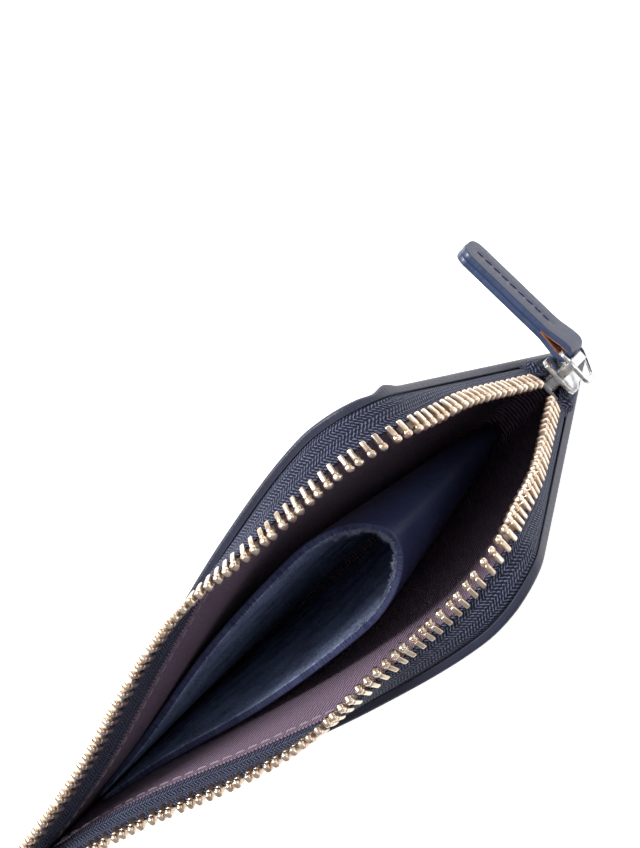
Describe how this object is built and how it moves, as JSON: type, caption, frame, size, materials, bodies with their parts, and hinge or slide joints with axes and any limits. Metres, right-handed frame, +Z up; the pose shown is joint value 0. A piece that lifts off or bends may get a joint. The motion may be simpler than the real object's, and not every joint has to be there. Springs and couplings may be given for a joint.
{
  "type": "zip passport pouch",
  "caption": "Landscape leather passport pouch with an L-shaped metal zip, twill lining, a leather inner sleeve and a leather pull tab, standing open.",
  "frame": {"origin": "centre of the flat base the pouch stands on", "axes": "+Z up out of the mouth, +X along the long side towards the zip slider, +Y to the back panel"},
  "size_m": [0.1479, 0.0625, 0.1085],
  "materials": {
    "navy_leather": "smooth satin",
    "mauve_twill": "matte ribbed twill",
    "sleeve_leather": "smooth grain outside, suede inside",
    "zip_tape": "herringbone weave",
    "teeth_metal": "pale gold, polished",
    "nickel": "polished nickel",
    "navy_thread": "twisted thread",
    "mauve_thread": "twisted thread",
    "tab_leather": "smooth satin with painted edges"
  },
  "bodies": {
    "pouch": {"back_panel": "navy_leather", "front_panel": "navy_leather", "back_lining": "mauve_twill", "front_lining": "mauve_twill", "inner_sleeve": "sleeve_leather", "back_tape": "zip_tape", "front_tape": "zip_tape", "back_tape_cord": "zip_tape", "front_tape_cord": "zip_tape", "back_teeth": "teeth_metal", "front_teeth": "teeth_metal", "back_top_stop": "nickel", "front_top_stop": "nickel", "bottom_stop": "nickel", "back_zip_stitching": "navy_thread", "front_zip_stitching": "navy_thread", "back_lining_stitching": "mauve_thread", "front_lining_stitching": "mauve_thread", "side_seam_stitching": "navy_thread"},
    "slider": {"slider_body": "nickel", "slider_bridge": "nickel"},
    "ring": {"pull_ring": "nickel"},
    "tab": {"pull_tab": "tab_leather", "tab_stitching": "navy_thread"}
  },
  "joints": [
    {"name": "slider_slide", "type": "slide", "parent": "pouch", "child": "slider", "axis": [0, 0, 1], "range_m": [0, 0.046], "deforming": ["back_tape", "front_tape", "back_tape_cord", "front_tape_cord", "back_teeth", "front_teeth"]},
    {"name": "ring_flip", "type": "hinge", "parent": "slider", "child": "ring", "pos_m": [0.0756, 0, 0.0292], "axis": [0, -1, 0], "range_deg": [0, 130]},
    {"name": "tab_swing", "type": "hinge", "parent": "ring", "child": "tab", "pos_m": [0.0756, 0.0035, 0.0239], "axis": [0, 0, -1], "range_deg": [-10, 90]}
  ]
}
